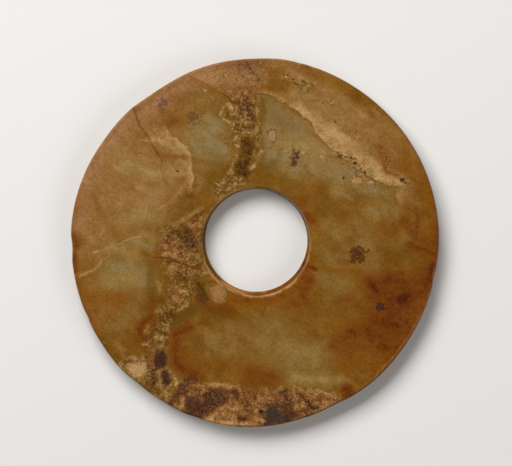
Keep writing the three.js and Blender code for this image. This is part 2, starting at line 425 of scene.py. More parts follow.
# Russet stain
paint("russet", [
    (0.72, 0, 14, [(58, -17), (70, -15), (80, -17), (99, -8), (99, -26), (90, -34), (88, -44), (80, -56),
        (70, -59), (60, -54), (46, -57), (42, -50), (56, -43), (62, -34), (58, -26), (58, -17)]),
    (1.0, 3.5, 9, [(62, -21), (66, -26)]),
    (1.0, 2.5, 8, [(70, -28), (74, -34)]),
    (1.15, 4.5, 11, [(79, -31), (83, -29)]),
    (0.95, 3, 9, [(78, -36), (80, -40)]),
    (1.05, 2, 8, [(84, -25), (89, -21)]),
    (1.0, 4, 10, [(70, -43), (78, -45)]),
    (0.95, 2.5, 9, [(82, -42), (85, -50)]),
    (0.95, 2.5, 8, [(61, -50), (64, -53)]),
    (0.95, 3, 10, [(68, -57), (78, -57)]),
    (0.9, 3, 9, [(51, -49), (56, -48)]),
    (0.85, 3, 10, [(66, -48), (76, -51)], [(62, -29), (72, -31)]),
    (0.85, 2, 7, [(84, -1), (92, -4), (98, -6)], [(76, -18), (80, -17)]),
    (0.55, 3, 9, [(44, -31), (52, -30)], [(98, 6), (99, -8)]),
    (0.65, 3, 10, [(42, -56), (52, -60)]),
    (1.05, 3, 7, [(97, -12), (95, -20)]),
    (0.85, 0.5, 2.5, [(68, -18.5), (72, -17.5), (76, -17), (80, -18)]),
    (0.9, 4, 10, [(72, -19), (84, -22)]),
    (0.6, 3, 9, [(55, -34), (60, -38)], [(66, -60), (74, -60)], [(88, 2), (98, -2)]),
    (0.6, 4, 10, [(44, -54), (66, -57)]),
    (0.6, 5, 11, [(-2, -71), (9, -73)]),
    (0.7, 2.5, 7, [(25, -28), (28, -32)]),
    (0.5, 2, 6, [(46, -10), (50, -11)]),
    (0.85, 3.2, 9, [(-42.5, -50), (-43.5, -58), (-42.5, -65), (-38, -69), (-32, -72)]),
    (0.6, 3, 11, [(-40, -58), (-38, -66), (-30, -72)]),
    (0.95, 1.6, 7, [(28, 15), (31, 12)]),
    (0.5, 2, 10, [(16, 28), (24, 20)]),
    (0.95, 1.5, 5, [(28.5, -13), (33, -14)]),
    (0.7, 3, 9, [(27, -26), (30, -20)]),
    (0.7, 1.5, 6, [(20, -32), (24, -34)]),
    (0.5, 1.5, 8, [(14, -36), (18, -34)]),
    (0.85, 1.5, 6, [(-98, 4), (-97, -2)]),
    (0.85, 1.5, 5, [(-98, -8), (-97, -16)]),
    (0.7, 0.7, 5, [(-95, -34), (-91, -41)]),
    (0.8, 1.2, 6, [(-57, -35), (-55, -31), (-50, -31)]),
    (0.8, 2.2, 6, [(-56.5, -40), (-60.5, -43), (-62.5, -47), (-61.5, -50.5), (-59, -53)]),
    (0.6, 2, 6, [(-57, -38), (-55, -43)], [(58, -81), (50, -88)]),
    (0.8, 2, 8, [(-30, -31), (-24, -35.5), (-14, -37.5)]),
    (0.5, 3, 7, [(-28, -31), (-22, -35)]),
    (0.85, 2.5, 7, [(-42, -49), (-38, -47), (-36, -46)]),
    (0.7, 2, 10, [(-6, -76), (8, -76)]),
    (1.0, 3.2, 7, [(49.5, -80), (52, -85)]),
    (0.35, 1.5, 8, [(-68, 52), (-62, 48), (-55, 47)]),
    (0.6, 1.5, 7, [(-44, 67), (-46, 64)]),
    (0.45, 1.5, 5, [(-39, 25), (-34, 25.5)]),
    (0.75, 1, 5, [(-33, 13), (-27, 17)]),
    (0.65, 0.8, 6, [(-53, 8), (-52.5, 2), (-54, -6)]),
    (0.85, 0.9, 4, [(87, 20), (88.5, 12), (87, 1)]),
    (0.6, 2.5, 7, [(88, 10), (88, 5)]),
    (0.6, 3, 8, [(82, 12), (86, 4)]),
    (0.5, 1.5, 7, [(-88, 26), (-84, 18)], [(73, 18), (76, 6)]),
    (0.55, 2, 9, [(82, -4), (98, 2)]),
    (0.5, 2, 9, [(-10, -80), (-4, -84), (4, -86)]),
    (0.4, 1.2, 4, [(66, 52.5), (70, 52)]),
    (0.6, 1.5, 6, [(-47, -38), (-42, -40)]),
])

# Opaque, crumbly crust along the old fault through the stone
crust = paint("crust", [
    # the vein between the top of the rim and the hole
    (0.55, 0, 9, [(-26, 99), (-25, 92), (-21, 86), (-16, 80), (-10, 75), (-4, 79), (2, 82), (6, 88),
        (9, 92), (10, 99), (-8, 104), (-26, 99)]),
    (1.0, 0, 4, [(-16, 80), (-10, 75.5), (-10, 72), (-8.5, 68), (-12, 65), (-13, 58), (-12, 54),
        (-9.5, 51), (-11, 45), (-13, 41), (-15, 38), (-17, 34), (-22.5, 33), (-23, 28), (-18, 23),
        (-10, 29), (-4, 31), (-3, 36), (0, 40), (3, 47), (2, 53), (4, 60), (1.5, 67), (1.5, 75), (3, 80),
        (-4, 84), (-16, 80)]),
    (0.85, 0, 2.5, [(-18.5, 73.5), (-15, 76.5), (-12.5, 75), (-11, 71), (-12.5, 66), (-15, 65.5),
        (-19, 68), (-19.5, 71), (-18.5, 73.5)]),
    (0.95, 0, 3, [(-16, 77), (-10, 77), (-7, 72), (-7, 64), (-13, 63.5), (-17, 67), (-18.5, 72), (-16, 77)]),
    (0.6, 1.2, 3, [(-15.5, 57), (-15, 54)]),
    (0.7, 0.8, 3, [(-28, 84), (-24, 80), (-21, 77)]),
    # the edge of the pale skin, and the flecks on it
    (1.0, 1.4, 3, [(21, 88), (25, 84), (28, 82)], [(26, 87), (31, 84.5)]),
    (0.9, 1.2, 3, [(34, 78.5), (38, 77), (42, 76)]),
    (0.7, 1, 3, [(15, 91), (18, 89)]),
    (0.7, 0.8, 3, [(18, 74.5), (21, 73)]),
    (0.6, 1, 4, [(56, 60), (57, 57)]),
    (1.0, 2.2, 3, [(54.5, 35.5), (56.5, 33.5)]),
    (0.8, 1.3, 3, [(46, 46.5), (52, 43.5), (57, 39.5), (61, 35.8), (66, 33), (74, 30.8)]),
    (0.4, 3, 7, [(50, 42), (56, 38)]),
    (0.4, 2, 6, [(60, 33), (70, 31)]),
    (0.7, 1.5, 4, [(24, 86), (29, 83.5)]),
    (0.55, 1.0, 3, [(16, 91), (14, 93)]),
    # beside the hole
    (1.0, 0, 4, [(-52, 8), (-49, 11), (-44, 9), (-40, 10), (-36, 11.5), (-33, 16), (-29, 18), (-29, 10),
        (-28, 4), (-27, -8), (-25, -14), (-24, -18), (-31, -20), (-34, -24), (-41, -23), (-47, -23),
        (-48, -20), (-48, -14), (-52, -8), (-52, -2), (-51, 3), (-52, 8)]),
    # the crumbs below the hole
    (1.15, 0, 2, [(-48, -25), (-44, -23), (-38, -23), (-34, -24), (-33, -27), (-35.5, -31), (-37, -33.5),
        (-41, -37), (-46, -36), (-48, -32), (-46.5, -28), (-48, -25)]),
    (1.1, 0, 2, [(-45, -36), (-42.5, -38.5), (-44, -42), (-49, -41), (-48, -37), (-45, -36)]),
    (1.0, 0, 2.5, [(-55.5, -38.5), (-53, -35), (-50, -33), (-46.5, -34.5), (-46, -37), (-47.5, -39),
        (-46.5, -42), (-52, -42.5), (-55.5, -38.5)], [(-54, -44), (-47.5, -43.5), (-46.5, -49), (-47, -56),
        (-49, -60), (-53, -60), (-57, -57), (-62, -56), (-60, -53.5), (-57, -51), (-55, -48), (-54, -44)]),
    (0.85, 0, 3, [(-59, -46), (-57.5, -44.5), (-56.5, -47), (-58, -49), (-59, -46)]),
    (1.0, 0, 3, [(-75, -67), (-71, -62.5), (-67, -60), (-62, -61.5), (-59, -60), (-56, -62), (-55, -69),
        (-57, -73), (-57, -79), (-60, -83), (-68, -78), (-75, -67)],
        [(-57, -58), (-49, -57.5), (-47.5, -61), (-47.5, -68), (-44, -70.5), (-41.5, -75), (-43.5, -79),
        (-47, -85), (-51, -92), (-60, -82), (-57, -70), (-57, -58)]),
    (1.1, 0, 1.5, [(-24.5, -25), (-21, -22.8), (-17, -24), (-15, -28.5), (-16.5, -32.5), (-20, -33.3),
        (-23.5, -31), (-24.5, -25)]),
    # the bottom of the rim
    (0.9, 0, 4, [(-34, -70.5), (-39, -73), (-43, -79), (-48, -88), (-40, -94), (-36, -84), (-31, -78),
        (-30, -72), (-34, -70.5)]),
    (1.0, 0, 5, [(-46, -89), (-41, -84), (-37, -80), (-30, -76.5), (-20, -75), (-13, -76), (-6, -79),
        (4, -79), (14, -78), (24, -78), (34, -79), (43, -81), (48, -84), (46, -96), (0, -106), (-44, -96),
        (-46, -89)]),
])

# Where the crust is pinkish or purple rather than yellow
paint("peach", [
    (0.8, 0, 8, [(-26, 100), (-24, 86), (-16, 80), (-9, 76), (0, 78), (8, 84), (10, 100), (-26, 100)]),
    (0.6, 2, 4, [(-8, 76), (-4, 70), (-3, 66)], [(-8, 64), (-2, 62)]),
    (0.9, 4, 5, [(-49, -4), (-46, 2), (-44, -4)]),
    (0.8, 3, 5, [(-38, -8), (-34, 0), (-32, 8)], [(-66, -68), (-62, -71)]),
    (0.5, 2, 4, [(-43, -26), (-41, -31)]),
    (0.5, 3, 6, [(-44, -14), (-40, -20)]),
    (0.7, 3, 4, [(-21, -26), (-18, -30)]),
    (1.0, 2, 4, [(-57, -62), (-56, -67), (-50, -69)]),
    (1.0, 3.5, 3, [(-52, -61), (-51, -66)]),
    (1.0, 2.5, 3, [(-48.5, -72), (-48, -76)]),
    (0.9, 1.5, 3, [(-55, -72), (-55, -76)]),
    (0.9, 3, 4, [(-34, -72), (-40, -80), (-46, -88)]),
    (0.9, 0, 6, [(-46, -84), (-30, -74), (-4, -78), (10, -80), (46, -80), (46, -96), (0, -106), (-44, -98),
        (-46, -84)]),
    (0.45, 2, 3, [(53, 36), (57, 33)]),
    (0.5, 1.5, 3, [(46, 48.5), (52, 48), (60, 39), (66, 35)]),
    (0.7, 1.5, 3, [(-57.8, -45), (-58.7, -47.5)]),
])

# Cream lips where crust or weathered skin ends, and light flecks; a few strokes are painted highlights,
# along the top of the rim and where the skin's raised edge catches the light
paint("cream_and_highlights", [
    # the vein between the top of the rim and the hole
    (0.3, 4, 10, [(-24, 92), (-16, 90), (-8, 87), (0, 87)]),
    (0.5, 1.2, 3, [(-18, 27), (-15, 27)]),
    # painted highlight along the top of the rim
    (0.5, 1, 3, [(-27, 96), (-22, 97.5), (-14, 98.5)]),
    (0.45, 1.5, 5, [(5, 86), (6, 92), (5.5, 97)], [(-10, 79), (-8, 82)]),
    (0.5, 1.2, 4, [(-15, 83), (-13, 79), (-11, 77)]),
    (0.7, 0.8, 2.5, [(-28, 84), (-24, 80), (-21, 77)]),
    (1.2, 0.6, 1.6, [(-18, 72.8), (-16.2, 75), (-14.6, 76.2), (-13, 74.8), (-12.3, 73)],
        [(-19, 71.5), (-19, 69.5), (-17.3, 67), (-14, 65.4)]),
    (0.5, 0.8, 2.5, [(-16, 70), (-14.5, 68), (-11, 70), (-10, 74)]),
    (1.1, 1.0, 2.5, [(-13.5, 63.7), (-11.5, 63.3)]),
    (0.75, 0.5, 2, [(2, 80), (0.8, 75), (0.2, 70), (2, 65.5), (4, 63)]),
    (0.6, 0.5, 2, [(-5, 72), (-4.6, 68.5)], [(-3, 66.5), (0, 65), (1, 62)], [(-21.3, 34), (-20.8, 31.5)],
        [(-17, 34), (-16, 30)]),
    (0.7, 0.6, 2, [(-8, 67.5), (-7, 66.5)], [(-4.8, 65.5), (-4, 64.5)]),
    (0.7, 0.5, 2, [(0, 55), (2, 58), (4, 60)]),
    (0.6, 0.7, 2.5, [(-6, 60), (-1, 60.5)]),
    (0.55, 0.6, 2, [(-11, 60), (-10, 56)]),
    (1.25, 0.6, 2, [(-10, 53), (-9.3, 50), (-10.6, 46), (-12.2, 42.5)]),
    (0.9, 0.7, 2, [(4, 49.5), (1.7, 47), (1, 44)]),
    (1.0, 0.9, 2.2, [(0.5, 43), (-2.2, 40)]),
    (0.7, 0.6, 1.5, [(-3, 46.5), (-3.2, 46.5)]),
    (0.6, 1.2, 4, [(-13.5, 40), (-12.5, 37)]),
    (0.45, 2, 5, [(-9, 35), (-6, 32)]),
    (0.6, 0.8, 2.5, [(-20, 28), (-15, 30), (-10, 31.5)]),
    # the edge of the pale skin, and the flecks on it
    # cream lip along the skin's raised edge, partly a painted highlight where the edge catches the light
    (1.0, (0.7, 0.1), (2.2, 0.8), skin_edge[:16]),
    # painted highlight where two chips in the top of the rim catch the light
    (0.9, 0.5, 1.5, [(22, 98.2), (25, 97.6)], [(31, 95.6), (34, 94.4)]),
    (0.5, 0.6, 2.5, [(18, 52.5), (20, 52)]),
    (0.5, 0.6, 3, [(25, 50), (26, 48.5)]),
    (1.0, 1.2, 2, [(54, 36), (54, 33.5), (57.5, 33.5)]),
    (1.0, 0.7, 1.2, [(62.5, 32.7), (64, 32.7)]),
    (0.6, 0.6, 1.5, [(47, 48.5), (50, 47.5), (52, 46.5)]),
    (0.8, 0.7, 1.5, [(61, 38), (66, 35), (69, 33), (74, 32)], [(54, 41), (54.2, 40.8)],
        [(19, 74.2), (20.5, 73.5)]),
    (1.1, 0.8, 1.5, [(46, 48.7), (48.5, 48)]),
    (1.1, 0.9, 1.8, [(50, 49), (52, 48)]),
    (0.9, 0.8, 1.5, [(40.5, 52), (43, 51.3)]),
    (0.6, 2, 6, [(52, 45), (58, 41), (63, 38)]),
    (1.0, 0.5, 1, [(82, 33), (83, 34)]),
    # painted highlight on the same two chips in the top of the rim
    (1.2, 0.35, 1, [(21, 98.3), (25, 97.8)], [(30.5, 95.8), (33, 95)]),
    (0.5, 0.6, 2, [(22, 88), (25, 86.5)], [(56, 60), (57.5, 57.5)]),
    (0.9, 0.8, 2, [(23, 84.5), (27, 81.5)], [(35, 78), (41, 76.3)]),
    (0.8, 0.6, 2, [(28.5, 86), (30.5, 84)], [(15.5, 91), (17.5, 89.5)]),
    # the left side
    (0.55, (0.2, 0.8), (0.8, 3), tongue_edge[:6]),
    (0.45, (0.2, 0.8), (0.8, 2.5), tongue_edge[6:]),
    (0.6, 0.3, 1.5, [(-92, -5.5), (-84, -3.3), (-76, -1.5)]),
    (0.65, 0.8, 2, [(-97, -17.5), (-90, -16), (-84, -12), (-82, -11)]),
    (0.5, 0.4, 1.2, [(-65, -4), (-62, -6)]),
    (0.7, 0.5, 2, [(-43, 8), (-38, 12), (-32, 16), (-27, 18.5)]),
    # the right side
    (0.6, 0.8, 2, [(57, 0.5), (61, 1)]),
    # beside the hole
    (0.45, 1.5, 4, [(-44, 3.5), (-43, 1)], [(-37, 9), (-32, 9)]),
    (0.45, 1.5, 3, [(-35, -9), (-33, -10)]),
    (0.4, 1.5, 4, [(-39, -22), (-36, -23)]),
    (0.5, 1.5, 4, [(-50, -6), (-46, -5.5), (-43, -6.5)], [(-37, -6), (-31, -8)]),
    (0.5, 2, 5, [(-45, -13), (-38, -15)]),
    (0.55, 0.5, 2, [(-31, 2), (-29.5, 4)]),
    (0.6, 0.8, 2.5, [(-28, -12), (-28, -14)]),
    # the crumbs below the hole
    (0.45, 1.5, 4, [(-70, -60), (-67, -62)], [(-49, -49), (-47, -50)]),
    (0.4, 1.5, 4, [(-59, -66), (-57, -67)]),
    (0.5, 2, 4, [(-45, -26), (-37, -27)]),
    (0.75, 0.9, 2, [(-36, -31.5), (-37, -34), (-41, -36), (-45, -35)]),
    (0.5, 0.8, 2, [(-43, -30), (-39, -31.5)]),
    (0.6, 0.6, 2, [(-46, -24.5), (-40, -23.8), (-35, -26), (-34.5, -28)]),
    (0.55, 1.5, 4, [(-53, -37), (-48, -35.5)]),
    (0.5, 1.5, 4, [(-51, -46), (-48, -47)]),
    (0.75, 1.3, 2, [(-54.5, -51.5), (-51, -51.5)]),
    (0.5, 1, 2, [(-50, -54), (-49, -52)]),
    (0.75, 1.0, 3, [(-61, -55), (-57, -54.5)]),
    (0.5, 1, 3, [(-52, -57), (-49, -58)]),
    (0.95, 1.0, 2.5, [(-57.8, -45), (-58.7, -47.5)]),
    (1.1, 0, 3, [(-70, -68), (-67, -65.5), (-62, -66.5), (-59.5, -70), (-61, -73.5), (-66, -72.8),
        (-70, -68)]),
    (0.8, 0.8, 2.5, [(-73.5, -67), (-71, -63.5), (-68, -61)]),
    (0.8, 0.7, 2.5, [(-73.5, -67.5), (-70, -71.5), (-66, -75)]),
    (0.6, 1.2, 3, [(-64, -74.5), (-61, -75)]),
    (0.5, 2.5, 5, [(-70, -62.5), (-61, -63)]),
    (0.5, 0.8, 3, [(-52, -70), (-51.8, -78), (-51.5, -85)]),
    (0.65, 1.6, 4, [(-55, -82), (-51, -85), (-49, -88)]),
    (0.3, 3, 4, [(-21.5, -26.5), (-19, -30)]),
    # the bottom of the rim
    (0.5, 2, 6, [(25, -82), (31, -84)]),
    (0.4, 2, 5, [(7, -82), (11, -82)], [(-13, -93), (-8, -91)]),
    (0.45, 1.5, 4, [(-46, -78), (-44, -80)]),
    (0.3, 1.5, 4, [(-22.5, -79.5), (-12, -81.5)]),
    (0.9, 1.0, 3, [(-47.5, -68.5), (-44.5, -71), (-42.3, -74.5), (-44, -79), (-46, -83.5), (-49, -87.5)]),
    (0.6, 0.8, 3, [(-41, -73), (-39, -76)]),
    (0.8, 1.2, 3, [(-38.5, -84.5), (-38.8, -90), (-42.5, -88.5)]),
    (1.3, 1.6, 4, [(-27, -96.5), (-20, -97.5), (-12, -98)]),
    (1.2, 1.2, 4, [(-12, -98.5), (-6, -99), (1, -99)]),
    (0.9, 1.2, 4, [(-26, -95), (-20, -94)]),
    (0.65, 1.2, 4, [(-22, -92), (-16, -89), (-10, -90), (-11, -96)]),
    (0.85, 1.3, 3, [(-31, -78.5), (-24, -77), (-15, -77.5), (-12, -79)]),
    (0.5, 1.2, 3, [(-34, -81), (-28, -80.5)], [(22, -84), (26, -88)]),
    (0.7, 0.6, 2.5, [(-9.5, -79.5), (-7.3, -82), (-8, -85), (-11, -87)]),
    (0.6, 1.5, 4, [(-24, -94), (-18, -93), (-13, -89)]),
    (0.6, 1.0, 3, [(2, -84), (8, -84), (12, -82)], [(22, -84), (23, -90)]),
    (0.55, 1.2, 4, [(1, -87), (4, -86)]),
    (0.65, 1, 3, [(0.5, -90), (1, -96), (4, -97)]),
    (0.85, 0.9, 2, [(25.5, -87), (25.5, -88)]),
    (0.7, 1.5, 4, [(24, -80), (34, -81), (42, -83)], [(35.5, -89), (41, -86.5)]),
])

# Fine pits and loose grains
paint("gritty", [
    (1.0, (0.8, 1.6), (1.5, 2.5), [(45, 48.5), (51.5, 46.5), (55, 42.5), (59.5, 38.5), (65, 35),
        (70, 32.5), (75, 31.5)]),
    (0.9, 2.6, 4, [(50, 43), (55, 39)]),
    (0.8, 2.2, 3, [(54.5, 35.5), (57.5, 33.5)]),
    (0.6, 3, 6, [(63, 33), (70, 31)]),
    (0.8, 1.6, 3, [(80, 35), (82, 32)]),
    (0.7, 1.4, 4, [(66, 53), (70, 50), (72, 45)]),
    (0.5, 2, 5, [(72, 45), (74, 38)]),
    (0.6, 2, 4, [(36, 46.5), (38, 46)]),
    (0.7, 2, 4, [(16, 91), (22, 87), (28, 84)]),
    (0.5, 2, 4, [(34, 78.5), (41, 76)], [(54, 60), (57, 57)], [(-15.5, 57), (-13, 53)]),
    (0.7, 0, 4, [(-12, 78), (0, 80), (1, 66), (3, 58), (-2, 58), (-12, 60), (-8, 68), (-12, 78)]),
    (0.7, 3, 5, [(-20, 29), (-12, 33)]),
    (0.6, 6, 8, [(-44, 2), (-36, -2), (-38, -14)]),
    (0.5, 4, 6, [(-42, -28), (-50, -46), (-52, -56)], [(-62, -64), (-52, -76)],
        [(-36, -80), (-12, -90), (12, -86), (36, -86)]),
    (0.4, 5, 10, [(-20, 90), (0, 90)]),
])

# Umber and purple-brown patches
paint("umber", [
    # the vein between the top of the rim and the hole
    (0.55, 2.5, 6, [(-8, 98), (-2, 94), (1, 90)]),
    (0.4, 1.2, 3, [(-22, 28), (-21, 27.5)]),
    (0.45, 1.2, 3, [(-6, 34), (-4, 33.5)]),
    (0.9, 0.5, 1.8, [(-7.2, 99), (-8.3, 96), (-8, 91)]),
    (0.95, 0.6, 1.8, [(-4.5, 98), (-2.5, 94), (-0.5, 91.5), (2.8, 88.5)]),
    (0.7, 1.2, 3, [(-7.5, 97.5), (-4.5, 95.5)]),
    (0.6, 0.5, 2, [(-2, 98.5), (0.5, 95), (0, 92)]),
    (0.5, 0.8, 3, [(-14, 97), (-10, 95)]),
    (0.5, 0.5, 2, [(-10, 89), (-9, 86), (-12, 84)], [(-6, 90), (-7, 87)], [(-3, 91), (-4, 87), (-1, 85)]),
    (0.2, 3, 6, [(-12, 97), (-2, 96), (2, 93)]),
    (0.35, 0.5, 2.5, [(8, 97), (7.8, 88)]),
    (0.5, 0.7, 2.5, [(-10, 83.5), (-4, 84.5), (2, 83)]),
    (0.35, 0.4, 1.5, [(-17, 86), (-16, 82), (-12, 78.5), (-9, 76)]),
    (0.5, 0.6, 2, [(-13, 77.5), (-9.5, 75.5)]),
    (0.4, 0.6, 2, [(-19, 84), (-15, 79.5)]),
    (0.3, 1, 3, [(-17, 83), (-15, 79)]),
    (0.35, 1.5, 4, [(-15.5, 71), (-14, 68.5)]),
    (0.7, 1.8, 4, [(-4, 74.5), (-2.5, 71)]),
    (0.5, 1.2, 3, [(-7.5, 74), (-7, 69)]),
    (0.5, 1, 3, [(-3, 69), (0, 66.5)]),
    (0.45, 1, 3, [(-9, 60), (-10, 63)]),
    (0.4, 1, 4, [(-2.5, 63), (-3, 61)]),
    (0.72, 0, 3, [(-7, 56), (-3, 57), (-0.5, 54), (-1, 49), (-3, 46), (-4, 41), (-4.5, 36), (-10, 36),
        (-11, 40), (-8, 46), (-7, 56)]),
    (0.75, 1, 3, [(-6, 42), (-8, 38), (-6.5, 36.5)]),
    (0.35, 1.2, 4, [(-19, 27), (-14, 33)]),
    (0.4, 1.0, 3, [(-15.5, 56), (-15, 54.5)]),
    # the edge of the pale skin, and the flecks on it
    (1.0, 0.7, 1, [(80.3, 34)]),
    (0.9, 0.4, 1, [(54, 43.8), (56, 41.8)], [(59.6, 38.2)]),
    (0.8, 0.5, 1.5, [(45.2, 48.3), (47, 47)]),
    (0.7, 0.4, 1.5, [(48.2, 36), (47.6, 34.5)]),
    # the right side
    (0.7, 0.5, 2, [(48, -9.5), (50, -9.7)]),
    # beside the hole
    (0.9, 2.2, 4, [(-37, 7), (-35.5, 3), (-35, -1)]),
    (0.6, 2, 5, [(-42, 6), (-39, 4)]),
    (0.5, 1.2, 4, [(-30, 3), (-33, -1)], [(-29.5, 6), (-29, 0)]),
    (0.45, 1.5, 4, [(-48, 1), (-46, 3.5)]),
    (1.0, 0.5, 1, [(-33.8, -5)]),
    (0.9, 1.8, 3, [(-41, -17), (-40.5, -19)]),
    # the crumbs below the hole
    (0.85, 2.3, 5, [(-30.5, -22), (-28.5, -26), (-27, -31)]),
    (0.45, 1.5, 4, [(-54, -57), (-53, -58)], [(-70, -65), (-67.5, -65)]),
    (0.35, 1.5, 4, [(-61, -61), (-59, -62)]),
    (0.75, 0, 6, [(-33, -19), (-27, -20), (-26, -24), (-26, -30), (-28, -34), (-32, -31), (-34, -25),
        (-33, -19)]),
    (1.3, 0.6, 1.2, [(-52, -42.4), (-50, -42.3), (-48.3, -43)]),
    (0.8, 1.5, 3, [(-46, -39), (-44, -41)]),
    (0.9, 0.3, 1.2, [(-54, -44), (-51.5, -39.5), (-53, -37)]),
    (0.7, 0.3, 1.5, [(-51, -39.5), (-46, -38), (-43, -36.5)]),
    (1.1, 0.5, 1.4, [(-54.5, -46.8), (-52.5, -47.6), (-49.5, -49.3), (-47.5, -49.5)]),
    (1.0, 0.4, 1.3, [(-59, -51.5), (-56.5, -50), (-55.5, -48)],
        [(-60, -56.5), (-56, -54.5), (-54.5, -52.5), (-56, -50.5)]),
    (0.8, 0.3, 1.3, [(-54.5, -55), (-51, -54), (-49.5, -55)]),
    (0.5, 1.5, 4, [(-60, -58.5), (-56, -59.5)]),
    (1.1, 0, 2.5, [(-54.3, -60.5), (-50, -58.5), (-48.5, -60), (-48.7, -66.5), (-51, -68), (-54.5, -66.5),
        (-54.3, -60.5)]),
    (1.0, 1.7, 2.5, [(-48.8, -72), (-48, -74.5), (-48, -76)]),
    (0.85, 1.0, 2.5, [(-55, -72), (-55, -76.5)]),
    (0.9, 0.5, 1.5, [(-52, -68.5), (-55.5, -69.8)]),
    (0.6, 0.8, 2, [(-58, -66.5), (-57.5, -68)]),
    (0.5, 2, 5, [(-58, -78), (-56, -80)]),
    # the bottom of the rim
    (0.9, 1, 2.5, [(-38, -92), (-28, -96.5)]),
    (0.5, 1.5, 4, [(-34, -80), (-31, -81)]),
    (0.45, 1.5, 4, [(18, -84), (21, -85)]),
    (0.55, 2.2, 5, [(-34, -72), (-37, -76), (-42, -81), (-46, -87)]),
    (0.7, 0.3, 1.5, [(-46, -88), (-40, -84.5), (-38, -82)]),
    (0.72, 0, 4, [(-37.5, -84), (-34, -83.5), (-30, -84.5), (-27, -82), (-24, -80.5), (-20, -79),
        (-16, -80), (-14, -82.5), (-15, -86), (-18, -88), (-22, -91), (-26, -94), (-30, -97), (-35, -94),
        (-38, -90), (-37.5, -84)]),
    (1.05, 1.5, 4, [(-34, -87.5), (-28, -88.5)]),
    (0.9, 1.2, 3, [(-24, -85.5), (-19, -81)]),
    (0.8, 1.2, 3, [(-12, -80.5), (-9.5, -84)]),
    (0.45, 0.6, 3, [(-36, -80), (-30, -78), (-24, -79)]),
    (0.9, 1.3, 2.5, [(-8, -95), (-6, -95.8)]),
    (0.45, 1, 3, [(-16, -90.5), (-13, -92)]),
    (0.9, 0, 3.5, [(6, -88), (10, -88), (13, -91), (13, -98), (7, -99), (5.5, -94), (6, -88)]),
    (0.75, 0, 4, [(13, -90), (16, -87), (20, -88), (22, -93), (20, -98), (13, -98), (13, -90)]),
    (0.75, 1.2, 3, [(16, -80.5), (17, -84), (18.5, -89)]),
    (0.45, 1, 4, [(9, -82), (12, -86)]),
    (1.1, 0.8, 1.8, [(24.5, -82.5), (28, -86), (31.5, -89.7), (34.5, -89)]),
    (1.0, 0.8, 2, [(14, -81.5), (16.5, -80)]),
    (0.75, 0.8, 2, [(27, -91), (28.5, -94)]),
    (1.1, 0.9, 1, [(3.2, -91.7)]),
    (0.5, 2, 6, [(50, -80), (50, -86)]),
])

# Painted highlight along the worn, rounded lip of the hole, where it catches the light, and a thin painted
# highlight along the lower right of the rim's edge
mouth_x, mouth_y, mouth_radius = 0.6, 0.3, 29.3
mouth = [(mouth_x + mouth_radius * math.cos(a), mouth_y + mouth_radius * math.sin(a))
         for a in np.linspace(0, math.tau, 49)]
paint("lip_highlight", [
    (0.9, 0.7, 1.2, mouth[12:20]),
    (0.7, 0.6, 1.2, mouth[19:23]),
    (0.45, 0.5, 1.2, mouth[22:25]),
    (1.0, 0.5, 1.0, mouth[24:30]),
    (0.9, 0.7, 1.2, mouth[28:42]),
    (0.6, 0.6, 1.2, mouth[41:49]),
    # a thin painted highlight along the lower right of the rim's edge
    (0.4, 0.3, 1.5, [(98.3, -10), (96.5, -22), (92, -36), (85, -48.5), (76, -61), (64, -74)]),
])

# Fine cracks, and a painted shadow line at the foot of the weathered skin's raised edge. Each keeps its
# signed distance, which stays sharp between vertices, and how near it is.
crack_and_shadow_reach = 3.0
crack_and_shadow_fade = 2.2
crack_and_shadow_side = np.full(count, crack_and_shadow_reach)
crack_and_shadow_near = np.zeros(count)
for strength, points in (
    (0.8, [(-66, 73), (-65, 70), (-63.5, 66), (-61, 61.5), (-58, 57), (-55, 52), (-52, 47), (-50.5, 44.5)]),
    (0.35, [(-50.5, 44.5), (-50.3, 39), (-49.5, 34), (-47.5, 31)]),
    (0.4, [(-36, 90.5), (-30, 88), (-25, 85.3), (-20, 82), (-17, 80.5)]),
    (0.9, [(-17, 80.5), (-14, 78.2), (-12, 76), (-9, 74.5)]),
    (1.2, [(-54, -8.5), (-47, -8), (-44, -9.5), (-40, -11.5), (-36, -12.7), (-30, -13)]),
    (1.0, [(-32, -12), (-28, -11), (-26, -10.5)]),
    (1.0, [(-33, -13.3), (-29, -15)]),
    (0.9, [(-26, -21.5), (-23, -20.8), (-20, -21)]),
    # painted shadow under the raised edge of the weathered skin
    (0.6, [(3, 80.6)] + skin_edge[1:17]),
    (0.3, [(75.7, 32), (76, 22)]),
):
    nearest, side, inside = trace(points)
    crack_and_shadow_side = np.where(nearest < np.abs(crack_and_shadow_side), side * nearest, crack_and_shadow_side)
    crack_and_shadow_near = np.maximum(crack_and_shadow_near, strength * np.clip(crack_and_shadow_fade - nearest, 0, 1))
keep("crack_and_shadow_side", crack_and_shadow_side)
keep("crack_and_shadow_near", crack_and_shadow_near)

